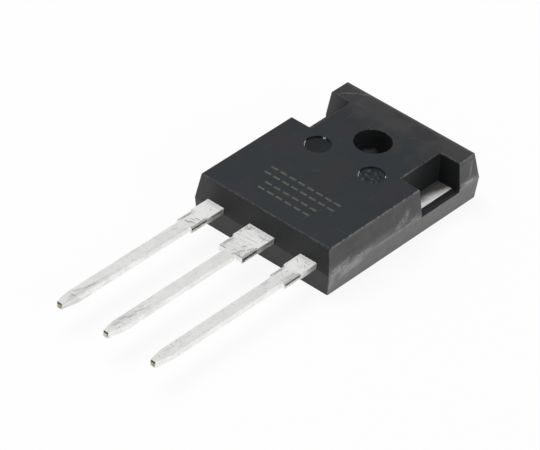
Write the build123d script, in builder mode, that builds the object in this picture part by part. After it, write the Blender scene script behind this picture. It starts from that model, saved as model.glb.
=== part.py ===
"""Darlington transistor in a flat three-lead moulded power package.

Frame, in millimetres: the origin is on the mounting-hole axis at the back (seating) face.
+Z comes out of the front face, and the leads run towards -Y.
"""

import os

from build123d import *

os.makedirs("parts", exist_ok=True)

# ---- Driving dimensions ----------------------------------------------------------------------

# Moulded body, measured at its parting line, where it is widest
body_width = 15.9
body_length = 20.6
body_thickness = 5.0
hole_to_rear_end = 5.75
front_half_side_draft = 0.40
front_half_lead_end_draft = 0.28
front_half_rear_end_draft = 0.48
back_half_side_draft = 0.22
back_half_lead_end_draft = 0.20
back_half_rear_end_draft = 0.12
body_corner_radius = 0.14
front_edge_radius = 0.12

# Mounting hole through the plastic
hole_diameter = 3.6
hole_edge_radius = 0.10

# Side notches, open to the front, that bare the edges of the tab
notch_depth = 2.68
notch_lead_side_reach = 2.45
notch_rear_side_reach = 3.05
notch_wall_draft = 0.12
notch_corner_radius = 0.20
notch_overrun = 2.0

# Round ejector-pin marks on the front face
pin_mark_diameter = 2.5
pin_mark_depth = 0.16
pin_mark_spread = 6.35
pin_mark_setback = 3.86
pin_mark_edge_chamfer = 0.04

# Heat tab, with a lip under which the plastic grips it
tab_thickness = 2.0
tab_cover = 0.9
tab_lead_end_cover = 2.65
tab_lip_width = 0.3
tab_lip_height = 0.7
tab_corner_radius = 0.4
hole_liner_wall = 1.8

# Leads
lead_pitch = 5.45
lead_thickness = 0.62
lead_rise = 0.3
lead_length = 19.8
lead_width = 1.2
shoulder_length = 4.05
outer_shoulder_width = 1.95
centre_shoulder_width = 2.95
clean_shoulder_length = 2.1
trim_cut_depth = 0.08
trim_corner_loss = 0.14
neck_radius = 0.15
tip_taper_length = 1.65
tip_width = 0.55
stamped_edge_radius = 0.06

# Bond posts at the inner ends of the outer leads
post_setback = 0.95
post_gap_to_tab = 0.3
post_gap_to_centre_lead = 1.4
post_side_cover = 0.95
post_lock_hole_diameter = 0.8
post_lock_hole_inset = 0.85

# Downset that joins the centre lead to the tab
downset_length = 1.0

# Chip and the solder under it
die_size = 5.0
die_thickness = 0.25
solder_thickness = 0.08
solder_margin = 0.15
solder_corner_radius = 0.3

# Bond wires, drawn eight-sided, and where they land on the chip and on the posts
emitter_wire_diameter = 0.38
base_wire_diameter = 0.20
wire_loop_cover = 1.1
wire_loop_ramp = 1.0
wire_bend_radius = 0.8
wire_sides = 8
foot_length_in_wires = 2.4
foot_width_in_wires = 1.5
foot_height_in_wires = 0.5
emitter_pad_offset = 0.4
emitter_pad_setback = 2.6
emitter_wire_spacing = 1.0
base_pad_inset = 0.8
post_landing_inset = 0.7

# ---- Places that follow from them ------------------------------------------------------------

rear_end_y = hole_to_rear_end
lead_end_y = hole_to_rear_end - body_length
hole_radius = hole_diameter / 2
parting_z = tab_thickness + lead_rise
lead_top_z = parting_z + lead_thickness

tab_half_width = body_width / 2 - tab_cover
tab_rear_y = rear_end_y - tab_cover
tab_lead_end_y = lead_end_y + tab_lead_end_cover
tab_middle_y = (tab_rear_y + tab_lead_end_y) / 2
tab_hole_radius = hole_radius + hole_liner_wall
downset_y = tab_lead_end_y - downset_length

post_lead_side_y = lead_end_y + post_setback
post_tab_side_y = tab_lead_end_y - post_gap_to_tab
post_middle_y = (post_lead_side_y + post_tab_side_y) / 2
post_inner_x = centre_shoulder_width / 2 + post_gap_to_centre_lead
post_outer_x = body_width / 2 - post_side_cover
post_landing_x = post_inner_x + post_landing_inset

die_middle_y = (tab_lead_end_y - tab_hole_radius) / 2
die_lead_side_y = die_middle_y - die_size / 2
die_bottom_z = tab_thickness + solder_thickness
die_top_z = die_bottom_z + die_thickness
wire_loop_z = body_thickness - wire_loop_cover


# ---- Leads: what all three share outside the body ---------------------------------------------


def lead_plan(centre_x, shoulder_width):
    """Plan of a lead from the body to its tip, on a plane whose Y axis is its centre line."""
    shoulder_end_y = lead_end_y - shoulder_length
    clean_end_y = lead_end_y - clean_shoulder_length
    tip_y = lead_end_y - lead_length
    trimmed_half_width = shoulder_width / 2 - trim_cut_depth
    with BuildSketch(Plane(origin=(centre_x, 0, parting_z))) as plan:
        with BuildLine():
            Polyline(
                (0, lead_end_y),
                (shoulder_width / 2, lead_end_y),
                (shoulder_width / 2, clean_end_y),
                (trimmed_half_width, clean_end_y),
                (trimmed_half_width, shoulder_end_y),
                (lead_width / 2, shoulder_end_y),
                (lead_width / 2, tip_y + tip_taper_length),
                (tip_width / 2, tip_y),
                (0, tip_y),
            )
            mirror(about=Plane.YZ)
        make_face()
        shoulder_end_corners = plan.vertices().group_by(Axis.Y)[2].sort_by(Axis.X)
        fillet(shoulder_end_corners[1:3], neck_radius)
    return plan.sketch


def round_stamped_edges(lead):
    """Round the long upper edges outside the body, where the stamping tool rolled them over."""
    trimmed_middle_y = lead_end_y - (clean_shoulder_length + shoulder_length) / 2
    upper_edges = lead.edges().filter_by(
        lambda edge: abs(edge.center().Z - lead_top_z) < 1e-6
        and edge.center().Y < lead_end_y
        and abs(edge.center().Y - trimmed_middle_y) > 1e-6
        and edge.length > neck_radius * 2
    )
    fillet(upper_edges.filter_by(Axis.Y), stamped_edge_radius)


def trim_corners(centre_x, shoulder_width):
    """The upper corners that broke away with the tie bars, on the plane where the clean edge ends."""
    clean_end_y = lead_end_y - clean_shoulder_length
    cut_x = shoulder_width / 2 - trim_cut_depth
    with BuildSketch(Plane((centre_x, clean_end_y, lead_top_z), (1, 0, 0), (0, -1, 0))) as corners:
        Polygon((cut_x, 0), (cut_x - trim_corner_loss, 0), (cut_x, -trim_corner_loss), align=None)
        mirror(about=Plane.YZ)
    return corners.sketch


# ---- Outer leads, each with the post that its bond wire lands on --------------------------------

outer_leads = {}
for label, side in (("base_lead", -1), ("emitter_lead", 1)):
    with BuildPart() as outer_lead:
        extrude(lead_plan(side * lead_pitch, outer_shoulder_width), amount=lead_thickness)
        with BuildSketch(Plane.XY.offset(parting_z)):
            with Locations((side * lead_pitch, (lead_end_y + post_middle_y) / 2)):
                Rectangle(outer_shoulder_width, post_middle_y - lead_end_y)
            with Locations((side * (post_inner_x + post_outer_x) / 2, post_middle_y)):
                Rectangle(post_outer_x - post_inner_x, post_tab_side_y - post_lead_side_y)
            with Locations((side * (post_outer_x - post_lock_hole_inset), post_middle_y)):
                Circle(post_lock_hole_diameter / 2, mode=Mode.SUBTRACT)
        extrude(amount=lead_thickness)
        round_stamped_edges(outer_lead)
        extrude(
            trim_corners(side * lead_pitch, outer_shoulder_width),
            amount=shoulder_length - clean_shoulder_length,
            mode=Mode.SUBTRACT,
        )
    outer_lead.part.label = label
    export_step(outer_lead.part, f"parts/{label}.step")
    outer_leads[label] = outer_lead.part

# ---- Heat tab and centre lead, one stamping from strip of two thicknesses -----------------------

with BuildPart() as collector_tab:
    # Exposed pad, and the wider plate above it that overhangs as a lip
    with BuildSketch(Plane.XY):
        with Locations((0, tab_middle_y)):
            RectangleRounded(
                2 * (tab_half_width - tab_lip_width),
                tab_rear_y - tab_lead_end_y - 2 * tab_lip_width,
                tab_corner_radius,
            )
    extrude(amount=tab_lip_height)
    with BuildSketch(Plane.XY.offset(tab_lip_height)):
        with Locations((0, tab_middle_y)):
            RectangleRounded(2 * tab_half_width, tab_rear_y - tab_lead_end_y, tab_corner_radius)
    extrude(amount=tab_thickness - tab_lip_height)
    Hole(tab_hole_radius)
    # Lead at its own height, up to where the strip bends down
    extrude(lead_plan(0, centre_shoulder_width), amount=lead_thickness)
    with BuildSketch(Plane.XY.offset(parting_z)):
        with Locations((0, (lead_end_y + downset_y) / 2)):
            Rectangle(centre_shoulder_width, downset_y - lead_end_y)
    extrude(amount=lead_thickness)
    # Downset, seen from the side
    with BuildSketch(Plane.YZ):
        Polygon(
            (downset_y, parting_z),
            (downset_y, lead_top_z),
            (tab_lead_end_y, tab_thickness),
            (tab_lead_end_y, tab_thickness - lead_thickness),
            align=None,
        )
    extrude(amount=centre_shoulder_width / 2, both=True)
    round_stamped_edges(collector_tab)
    extrude(
        trim_corners(0, centre_shoulder_width),
        amount=shoulder_length - clean_shoulder_length,
        mode=Mode.SUBTRACT,
    )
collector_tab.part.label = "collector_tab"
export_step(collector_tab.part, "parts/collector_tab.step")

# ---- Chip, and the solder that holds it on the tab ----------------------------------------------

with BuildPart() as die_solder:
    with BuildSketch(Plane.XY.offset(tab_thickness)):
        with Locations((0, die_middle_y)):
            RectangleRounded(
                die_size + 2 * solder_margin,
                die_size + 2 * solder_margin,
                solder_corner_radius,
            )
    extrude(amount=solder_thickness)
die_solder.part.label = "die_solder"
export_step(die_solder.part, "parts/die_solder.step")

with BuildPart() as darlington_die:
    with BuildSketch(Plane.XY.offset(die_bottom_z)):
        with Locations((0, die_middle_y)):
            Rectangle(die_size, die_size)
    extrude(amount=die_thickness)
darlington_die.part.label = "darlington_die"
export_step(darlington_die.part, "parts/darlington_die.step")

# ---- Bond wires, each looped from a pad on the chip to a post ------------------------------------

base_pad = Vector(base_pad_inset - die_size / 2, die_lead_side_y + base_pad_inset)
base_landing = Vector(-post_landing_x, post_middle_y)
emitter_pad = Vector(emitter_pad_offset, die_lead_side_y + emitter_pad_setback)
emitter_landing = Vector(post_landing_x, post_middle_y)
next_wire = Vector(emitter_wire_spacing, 0)

bond_wires = []
for label, diameter, pad, landing, post in (
    ("base_bond_wire", base_wire_diameter, base_pad, base_landing, "base_lead"),
    ("emitter_bond_wire_1", emitter_wire_diameter, emitter_pad, emitter_landing, "emitter_lead"),
    (
        "emitter_bond_wire_2",
        emitter_wire_diameter,
        emitter_pad + next_wire,
        emitter_landing + next_wire,
        "emitter_lead",
    ),
):
    along = landing - pad
    loop_plane = Plane(origin=pad, x_dir=along, z_dir=along.cross(Vector(0, 0, 1)))
    with BuildPart() as bond_wire:
        with BuildLine(loop_plane) as loop:
            FilletPolyline(
                (0, die_top_z),
                (wire_loop_ramp, wire_loop_z),
                (along.length - wire_loop_ramp, wire_loop_z),
                (along.length, lead_top_z),
                radius=wire_bend_radius,
            )
        with BuildSketch(Plane(loop.line @ 0, x_dir=loop_plane.z_dir, z_dir=loop.line % 0)):
            RegularPolygon(diameter / 2, wire_sides, rotation=180 / wire_sides)
        sweep()
        for spot, height in ((pad, die_top_z), (landing, lead_top_z)):
            with BuildSketch(Plane(origin=(spot.X, spot.Y, height), x_dir=along)):
                SlotOverall(foot_length_in_wires * diameter, foot_width_in_wires * diameter)
            extrude(amount=foot_height_in_wires * diameter)
        add(darlington_die.part, mode=Mode.SUBTRACT)
        add(outer_leads[post], mode=Mode.SUBTRACT)
    bond_wire.part.label = label
    export_step(bond_wire.part, f"parts/{label}.step")
    bond_wires.append(bond_wire.part)

# ---- Moulded body, in two drafted halves that meet at the underside of the leads -----------------


def draw_body_plan(side_inset, lead_end_inset, rear_end_inset):
    """Draw the body's rounded outline, stepped in from its parting line on each side."""
    lead_side_y = lead_end_y + lead_end_inset
    rear_side_y = rear_end_y - rear_end_inset
    with Locations((0, (lead_side_y + rear_side_y) / 2)):
        RectangleRounded(
            body_width - 2 * side_inset,
            rear_side_y - lead_side_y,
            body_corner_radius,
        )


def draw_notch_plan(side, narrowing):
    """Draw a side notch that runs out past the body's side, narrowed by its walls' draft."""
    inner_x = body_width / 2 - notch_depth + narrowing
    outer_x = body_width / 2 + notch_overrun
    lead_side_y = narrowing - notch_lead_side_reach
    rear_side_y = notch_rear_side_reach - narrowing
    with Locations((side * (inner_x + outer_x) / 2, (lead_side_y + rear_side_y) / 2)):
        RectangleRounded(outer_x - inner_x, rear_side_y - lead_side_y, notch_corner_radius)


with BuildPart() as moulded_body:
    with BuildSketch(Plane.XY):
        draw_body_plan(back_half_side_draft, back_half_lead_end_draft, back_half_rear_end_draft)
    with BuildSketch(Plane.XY.offset(parting_z)):
        draw_body_plan(0, 0, 0)
    loft()
    with BuildSketch(Plane.XY.offset(parting_z)):
        draw_body_plan(0, 0, 0)
    with BuildSketch(Plane.XY.offset(body_thickness)):
        draw_body_plan(front_half_side_draft, front_half_lead_end_draft, front_half_rear_end_draft)
    loft()
    for side in (-1, 1):
        with BuildSketch(Plane.XY.offset(tab_thickness)):
            draw_notch_plan(side, notch_wall_draft)
        with BuildSketch(Plane.XY.offset(body_thickness)):
            draw_notch_plan(side, 0)
        loft(mode=Mode.SUBTRACT)
    fillet(moulded_body.faces().sort_by(Axis.Z)[-1].outer_wire().edges(), front_edge_radius)
    # Mounting hole and pin marks, with the front edges just broken
    with BuildSketch(Plane.XY):
        Circle(hole_radius)
    extrude(amount=body_thickness, mode=Mode.SUBTRACT)
    with BuildSketch(Plane.XY.offset(body_thickness)):
        with Locations((-pin_mark_spread / 2, -pin_mark_setback)):
            Circle(pin_mark_diameter / 2)
        with Locations((pin_mark_spread / 2, -pin_mark_setback)):
            Circle(pin_mark_diameter / 2)
    extrude(amount=-pin_mark_depth, mode=Mode.SUBTRACT)
    front_rims = moulded_body.faces().filter_by(Axis.Z).sort_by(Axis.Z)[-1].inner_wires()
    fillet(front_rims.sort_by(Axis.Y)[-1].edges(), hole_edge_radius)
    front_rims = moulded_body.faces().filter_by(Axis.Z).sort_by(Axis.Z)[-1].inner_wires()
    chamfer(front_rims.sort_by(Axis.Y)[:2].edges(), pin_mark_edge_chamfer)
    # The plastic flows round everything that it holds
    add(collector_tab.part, mode=Mode.SUBTRACT)
    add(outer_leads.values(), mode=Mode.SUBTRACT)
    add([die_solder.part, darlington_die.part, *bond_wires], mode=Mode.SUBTRACT)
moulded_body.part.label = "moulded_body"
export_step(moulded_body.part, "parts/moulded_body.step")
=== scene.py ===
from math import cos, radians, sin
from types import SimpleNamespace

import bpy
from mathutils import Matrix, Vector


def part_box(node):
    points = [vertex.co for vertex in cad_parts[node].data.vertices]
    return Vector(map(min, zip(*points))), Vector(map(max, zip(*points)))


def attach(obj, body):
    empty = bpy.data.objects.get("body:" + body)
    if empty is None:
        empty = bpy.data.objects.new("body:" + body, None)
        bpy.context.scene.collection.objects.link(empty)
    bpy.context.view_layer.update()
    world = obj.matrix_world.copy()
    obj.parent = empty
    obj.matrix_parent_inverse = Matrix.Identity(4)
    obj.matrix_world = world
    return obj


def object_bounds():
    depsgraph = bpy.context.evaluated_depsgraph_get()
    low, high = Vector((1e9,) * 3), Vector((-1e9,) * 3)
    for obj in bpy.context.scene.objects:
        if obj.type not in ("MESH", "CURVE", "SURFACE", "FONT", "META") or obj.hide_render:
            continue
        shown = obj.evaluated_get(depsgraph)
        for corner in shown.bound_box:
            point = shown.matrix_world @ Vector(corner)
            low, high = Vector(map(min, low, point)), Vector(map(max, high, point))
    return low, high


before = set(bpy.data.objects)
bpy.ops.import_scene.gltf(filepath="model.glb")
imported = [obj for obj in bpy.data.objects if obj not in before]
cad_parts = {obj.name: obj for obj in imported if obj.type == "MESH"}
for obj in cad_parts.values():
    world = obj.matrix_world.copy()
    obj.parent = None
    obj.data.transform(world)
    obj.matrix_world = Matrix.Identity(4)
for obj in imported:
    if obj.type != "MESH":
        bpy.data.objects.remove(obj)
cad_low, cad_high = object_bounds()
MM = 0.001

# ---- Lead frame --------------------------------------------------------------------------------
# The heat tab with the centre lead, and the two outer leads, are stamped from copper strip of two
# thicknesses and plated with matt tin. The strip's tie bars were cut off beside the shoulders after
# the plating, and so were the tips, so these cuts are rough and show bare copper.

FACE_TIN = (0.68, 0.68, 0.67, 1)
SIDE_TIN = (0.96, 0.96, 0.945, 1)
TAB_TIN = (0.93, 0.93, 0.915, 1)
NOTCH_PLATE_SHADE = (0.05, 0.048, 0.043, 1)
DULL_TIN = (0.42, 0.42, 0.405, 1)
BRIGHT_TIN = (0.93, 0.93, 0.92, 1)
SCRATCH = (0.17, 0.165, 0.155, 1)
CUT_SHADE = (0.05, 0.042, 0.036, 1)
TORN_COPPER = (0.27, 0.255, 0.24, 1)
SMEARED_TIN = (0.86, 0.85, 0.83, 1)
BARE_COPPER = (0.40, 0.35, 0.15, 1)
CUT_SHADOW = (0.07, 0.062, 0.035, 1)

body_lead_end_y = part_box("moulded_body")[0].y / MM
lead_tip_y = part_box("base_lead")[0].y / MM
shoulder_length = 4.05
clean_shoulder_length = 2.1
shoulder_end_y = body_lead_end_y - shoulder_length
trim_start_y = body_lead_end_y - clean_shoulder_length
burr_shade_low_z = 2.56
burr_shade_high_z = 2.83
tip_step_z = 2.73
plate_top_z = 2.0

# How far out the painted shade reaches on the plate: full shade, no shade, and its slant towards
# the rear
shade_full_x = 5.78
shade_clear_x = 6.85
shade_slant = 0.2

# Marks of the tools and of handling on the leads: middle, angle, length, width and strength
lead_marks = (
    (-6.08, -17.95, 88, 2.00, 0.32, 0.8),
    (-1.10, -17.95, 88, 2.00, 0.34, 0.8),
    (4.82, -17.95, 88, 2.00, 0.30, 0.75),
    (-5.42, -18.47, 10, 0.75, 0.24, 1),
    (-5.08, -18.25, 8, 0.70, 0.20, 0.95),
    (-5.30, -17.93, 12, 0.75, 0.16, 0.85),
    (-5.02, -17.62, 10, 0.75, 0.18, 0.95),
    (0.65, -18.30, 70, 0.90, 0.42, 0.6),
    (-1.25, -18.10, 85, 1.30, 0.16, 0.6),
    (1.28, -18.15, 85, 0.90, 0.34, 0.6),
    (0.52, -18.90, 45, 0.70, 0.36, 0.6),
    (-0.85, -17.60, 80, 0.90, 0.12, 0.5),
    (-0.30, -17.05, 15, 0.90, 0.10, 0.5),
    (-5.48, -20.07, 70, 0.90, 0.35, 0.35),
    (-1.06, -15.45, 45, 0.95, 0.46, 0.8),
    (-0.85, -15.05, 10, 0.60, 0.24, 0.6),
    (-1.28, -16.10, 80, 0.70, 0.24, 0.5),
    (0.25, -16.45, 3, 2.00, 0.10, 0.8),
    (-0.20, -15.95, -6, 1.40, 0.09, 0.6),
    (1.08, -17.55, 75, 0.90, 0.36, 0.55),
    (0.80, -15.60, 0, 0.85, 0.30, 0.7),
    (1.24, -15.48, 30, 0.50, 0.26, 0.65),
    (0.36, -15.50, 10, 0.40, 0.22, 0.5),
    (0.38, -17.57, 60, 0.75, 0.32, 0.6),
    (0.10, -18.55, 70, 0.60, 0.24, 0.45),
    (6.02, -17.85, 88, 1.70, 0.40, 0.55),
    (5.95, -15.45, 5, 0.60, 0.14, 0.8),
    (6.05, -15.80, 0, 0.50, 0.12, 0.75),
    (5.80, -16.25, 12, 0.55, 0.11, 0.6),
    (6.05, -18.10, 80, 1.20, 0.30, 0.45),
    (5.05, -20.30, 65, 0.90, 0.30, 0.4),
    (5.60, -20.60, 60, 0.70, 0.15, 0.4),
    (0.05, -30.50, 75, 1.60, 0.22, 0.6),
    (-0.22, -30.00, 65, 0.70, 0.16, 0.6),
    (0.05, -31.60, 80, 1.30, 0.26, 0.7),
    (-0.25, -32.30, 80, 1.50, 0.30, 0.55),
    (-0.10, -33.20, 85, 1.20, 0.22, 0.6),
    (-0.40, -28.70, 85, 0.60, 0.10, 0.6),
    (-5.20, -31.00, 82, 1.70, 0.24, 0.65),
    (-5.55, -32.20, 78, 1.20, 0.30, 0.5),
    (-5.35, -33.30, 80, 0.90, 0.20, 0.4),
    (5.30, -32.40, 85, 1.40, 0.30, 0.3),
)


def add(tree, kind, inputs=None, **settings):
    """Add a node with its settings, and feed its inputs from sockets or plain values."""
    node = tree.nodes.new(kind)
    for option, value in settings.items():
        setattr(node, option, value)
    for name, value in (inputs or {}).items():
        if isinstance(value, bpy.types.NodeSocket):
            tree.links.new(value, node.inputs[name])
        else:
            node.inputs[name].default_value = value
    return node


def calc(tree, operation, a, b=0.0):
    """One step of arithmetic on values or sockets."""
    return add(tree, "ShaderNodeMath", {0: a, 1: b}, operation=operation).outputs[0]


def times(tree, *factors):
    """The product of masks and plain numbers."""
    product = factors[0]
    for factor in factors[1:]:
        product = calc(tree, "MULTIPLY", product, factor)
    return product


def invert(tree, mask):
    """What a mask leaves out."""
    return calc(tree, "SUBTRACT", 1, mask)


def vector_calc(tree, operation, a, b, output=0):
    """One step of arithmetic on vectors."""
    return add(tree, "ShaderNodeVectorMath", {0: a, 1: b}, operation=operation).outputs[output]


def join_xyz(tree, x, y, z=0.0):
    """A vector from three values."""
    return add(tree, "ShaderNodeCombineXYZ", {0: x, 1: y, 2: z}).outputs[0]


def ramp(tree, value, low, high, out_low=0.0, out_high=1.0):
    """A value carried smoothly from one range to another, and held at its ends."""
    limits = {0: value, 1: low, 2: high, 3: out_low, 4: out_high}
    return add(tree, "ShaderNodeMapRange", limits, interpolation_type="SMOOTHSTEP").outputs[0]


def noise(tree, place, scale, detail=2.0, roughness=0.5):
    """Smooth noise round 0.5, in three dimensions."""
    inputs = {"Vector": place, "Scale": scale, "Detail": detail, "Roughness": roughness}
    return add(tree, "ShaderNodeTexNoise", inputs).outputs[0]


def blend(tree, share, first, second):
    """A colour that goes from the first to the second as the share goes from 0 to 1."""
    mix = add(tree, "ShaderNodeMix", {0: share, 6: first, 7: second}, data_type="RGBA")
    return mix.outputs[2]


def effect(name, takes, gives):
    """Start a node group. It takes vectors, given as None, and numbers by their usual value."""
    group = bpy.data.node_groups.new(name, "ShaderNodeTree")
    for label, value in takes.items():
        kind = "NodeSocketVector" if value is None else "NodeSocketFloat"
        socket = group.interface.new_socket(label, in_out="INPUT", socket_type=kind)
        if value is not None:
            socket.default_value = value
    for label in gives:
        kind = "NodeSocketVector" if label == "Place" else "NodeSocketFloat"
        group.interface.new_socket(label, in_out="OUTPUT", socket_type=kind)
    inside = group.nodes.new("NodeGroupInput").outputs
    return group, inside, group.nodes.new("NodeGroupOutput").inputs


def use(tree, group, **inputs):
    """Place an effect in a material, and return the first thing that it gives."""
    return add(tree, "ShaderNodeGroup", inputs, node_tree=group).outputs[0]


def turn(tree, place, angle):
    """A place as seen by a pattern that is turned about Z."""
    inputs = {"Vector": place, "Angle": angle}
    settings = {"rotation_type": "Z_AXIS", "invert": True}
    return add(tree, "ShaderNodeVectorRotate", inputs, **settings).outputs[0]


def make_surface_place():
    """Where a point of the surface lies, in millimetres, and which way the surface faces there."""
    names = ("Place", "X", "Y", "Z", "Facing X", "Facing Y", "Facing Z")
    group, _, gives = effect("surface_place", {}, names)
    where = add(group, "ShaderNodeTexCoord").outputs
    scaled = add(group, "ShaderNodeVectorMath", {0: where["Object"], 3: 1 / MM}, operation="SCALE")
    group.links.new(scaled.outputs[0], gives["Place"])
    for source, first in ((scaled.outputs[0], "X"), (where["Normal"], "Facing X")):
        parts = add(group, "ShaderNodeSeparateXYZ", {0: source}).outputs
        for part, letter in zip(parts, "XYZ"):
            group.links.new(part, gives[first.replace("X", letter)])
    return group


def make_band():
    """1 where a value lies between two limits, with soft ends."""
    group, takes, gives = effect("band", {"Value": 0, "Low": 0, "High": 1, "Soft": 0.1}, ("Mask",))
    half = calc(group, "MULTIPLY", takes["Soft"], 0.5)
    edges = []
    for limit in ("Low", "High"):
        start = calc(group, "SUBTRACT", takes[limit], half)
        edges.append(ramp(group, takes["Value"], start, calc(group, "ADD", takes[limit], half)))
    group.links.new(calc(group, "SUBTRACT", edges[0], edges[1]), gives["Mask"])
    return group


def make_patches():
    """Irregular patches of about one size, more of them at a lower level."""
    takes = {"Place": None, "Size": 1, "Level": 0.5, "Soft": 0.1}
    group, takes, gives = effect("patches", takes, ("Mask",))
    field = noise(group, takes["Place"], calc(group, "DIVIDE", 1, takes["Size"]), 4, 0.6)
    top = calc(group, "ADD", takes["Level"], takes["Soft"])
    group.links.new(ramp(group, field, takes["Level"], top), gives["Mask"])
    return group


def make_scratches():
    """Fine short scratches that run at one angle from X across a level face."""
    takes = {"Place": None, "Angle": 0, "Length": 3, "Width": 0.2, "Level": 0.7}
    group, takes, gives = effect("scratches", takes, ("Mask",))
    turned = turn(group, takes["Place"], takes["Angle"])
    width = calc(group, "DIVIDE", 1, takes["Width"])
    scale = join_xyz(group, calc(group, "DIVIDE", 1, takes["Length"]), width, width)
    field = noise(group, vector_calc(group, "MULTIPLY", turned, scale), 1, 1, 0.4)
    top = calc(group, "ADD", takes["Level"], 0.05)
    group.links.new(ramp(group, field, takes["Level"], top), gives["Mask"])
    return group


def make_specks():
    """Small round specks, scattered, more of them at a lower level."""
    takes = {"Place": None, "Spacing": 1, "Radius": 0.1, "Level": 0.8}
    group, takes, gives = effect("specks", takes, ("Mask",))
    scale = calc(group, "DIVIDE", 1, takes["Spacing"])
    cells = add(group, "ShaderNodeTexVoronoi", {"Vector": takes["Place"], "Scale": scale}).outputs
    pick = add(group, "ShaderNodeSeparateColor", {0: cells["Color"]}).outputs
    chosen = calc(group, "GREATER_THAN", pick[0], takes["Level"])
    radius = calc(group, "MULTIPLY", takes["Radius"], calc(group, "ADD", pick[1], 0.3))
    dot = ramp(group, cells["Distance"], calc(group, "MULTIPLY", radius, 0.6), radius, 1, 0)
    group.links.new(calc(group, "MULTIPLY", chosen, dot), gives["Mask"])
    return group


def make_stroke():
    """One soft oblong mark at a place, turned by an angle, ragged at its sides and broken up."""
    takes = {"Place": None, "X": 0, "Y": 0, "Angle": 0, "Length": 1, "Width": 0.1, "Breaks": 0.5}
    group, takes, gives = effect("stroke", takes, ("Mask",))
    off = vector_calc(group, "SUBTRACT", takes["Place"], join_xyz(group, takes["X"], takes["Y"]))
    turned = turn(group, off, takes["Angle"])
    parts = add(group, "ShaderNodeSeparateXYZ", {0: turned}).outputs
    ragged = noise(group, takes["Place"], 4, 3, 0.7)
    mask = ramp(group, ragged, 0.38, 0.58, invert(group, takes["Breaks"]), 1)
    for part, size in ((parts[0], takes["Length"]), (parts[1], takes["Width"])):
        half = calc(group, "MULTIPLY", size, 0.5)
        reach = calc(group, "DIVIDE", calc(group, "ABSOLUTE", part), half)
        reach = calc(group, "ADD", reach, ramp(group, ragged, 0.3, 0.7, -0.35, 0.35))
        mask = calc(group, "MULTIPLY", mask, ramp(group, reach, 0.45, 1, 1, 0))
    group.links.new(mask, gives["Mask"])
    return group


surface_place = make_surface_place()
band = make_band()
patches = make_patches()
scratches = make_scratches()
specks = make_specks()
stroke = make_stroke()


def start_material(name):
    """A new material with its Principled shader, and the surface's place to hang patterns on."""
    material = bpy.data.materials.new(name)
    material.use_nodes = True
    tree = material.node_tree
    spot = add(tree, "ShaderNodeGroup", node_tree=surface_place).outputs
    return material, tree, tree.nodes["Principled BSDF"], spot


def bump(tree, height, depth, normal=None):
    """A normal raised by a height from 0 to 1 that stands for a depth in millimetres."""
    inputs = {"Height": height, "Distance": depth * MM, "Strength": 1.0}
    if normal:
        inputs["Normal"] = normal
    return add(tree, "ShaderNodeBump", inputs).outputs[0]


def most(tree, *masks):
    """The strongest of several masks."""
    result = masks[0]
    for mask in masks[1:]:
        result = calc(tree, "MAXIMUM", result, mask)
    return result


def crossed_scratches(tree, place, length, width, level):
    """Scratches at three angles."""
    sizes = {"Place": place, "Length": length, "Width": width}
    sets = []
    for angle, shift in ((8, 0), (97, -0.01), (-38, 0.02)):
        sets.append(use(tree, scratches, Angle=radians(angle), Level=level + shift, **sizes))
    return most(tree, *sets)


def strokes(tree, place, marks, breaks):
    """The marks of a table, each with its middle, angle, length, width and strength."""
    mask = 0.0
    for mark_x, mark_y, angle, length, width, strength in marks:
        mark = use(
            tree, stroke, Place=place, X=mark_x, Y=mark_y, Angle=radians(angle), Length=length,
            Width=width, Breaks=breaks
        )
        mask = calc(tree, "MAXIMUM", times(tree, mark, strength), mask)
    return mask


def lead_zones(tree, spot):
    """Masks of the lead frame's parts, by where they lie and which way they face."""
    y, upward = spot["Y"], spot["Facing Z"]
    zone = SimpleNamespace()
    zone.flat = ramp(tree, calc(tree, "ABSOLUTE", upward), 0.6, 0.9)
    zone.sideways = ramp(tree, calc(tree, "ABSOLUTE", spot["Facing X"]), 0.75, 0.9)
    zone.outside = ramp(tree, y, body_lead_end_y + 0.2, body_lead_end_y)
    zone.near_tip = ramp(tree, y, lead_tip_y + 3, lead_tip_y + 9, 1, 0)
    shoulder = use(tree, band, Value=y, Low=shoulder_end_y, High=body_lead_end_y, Soft=0.6)
    zone.busy = times(tree, most(tree, zone.near_tip, shoulder), zone.outside)
    zone.trimmed = use(tree, band, Value=y, Low=shoulder_end_y - 0.02, High=trim_start_y, Soft=0.05)
    zone.cut = times(tree, zone.trimmed, zone.sideways)
    slanted = use(tree, band, Value=upward, Low=0.3, High=0.95, Soft=0.1)
    zone.lost_corner = times(tree, slanted, zone.trimmed)
    endways = ramp(tree, spot["Facing Y"], -0.6, -0.9)
    zone.tip_cut = times(tree, ramp(tree, y, lead_tip_y + 0.1, lead_tip_y + 0.02), endways)
    return zone


def lead_textures(tree, spot):
    """The noises that the lead frame's colour, roughness and relief share."""
    place = spot["Place"]
    texture = SimpleNamespace()
    texture.along_lead = vector_calc(tree, "MULTIPLY", place, (1, 0.12, 1))
    texture.clouds = noise(tree, place, 0.8, 3, 0.55)
    texture.grain = noise(tree, place, 15, 3, 0.65)
    texture.streaks = noise(tree, texture.along_lead, 6, 3, 0.6)
    texture.torn = noise(tree, vector_calc(tree, "MULTIPLY", place, (1, 1.3, 0.4)), 8, 4, 0.7)
    waves = ramp(tree, texture.torn, 0.3, 0.7, -0.12, 0.12)
    texture.wavy_z = calc(tree, "ADD", spot["Z"], waves)
    return texture


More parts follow.
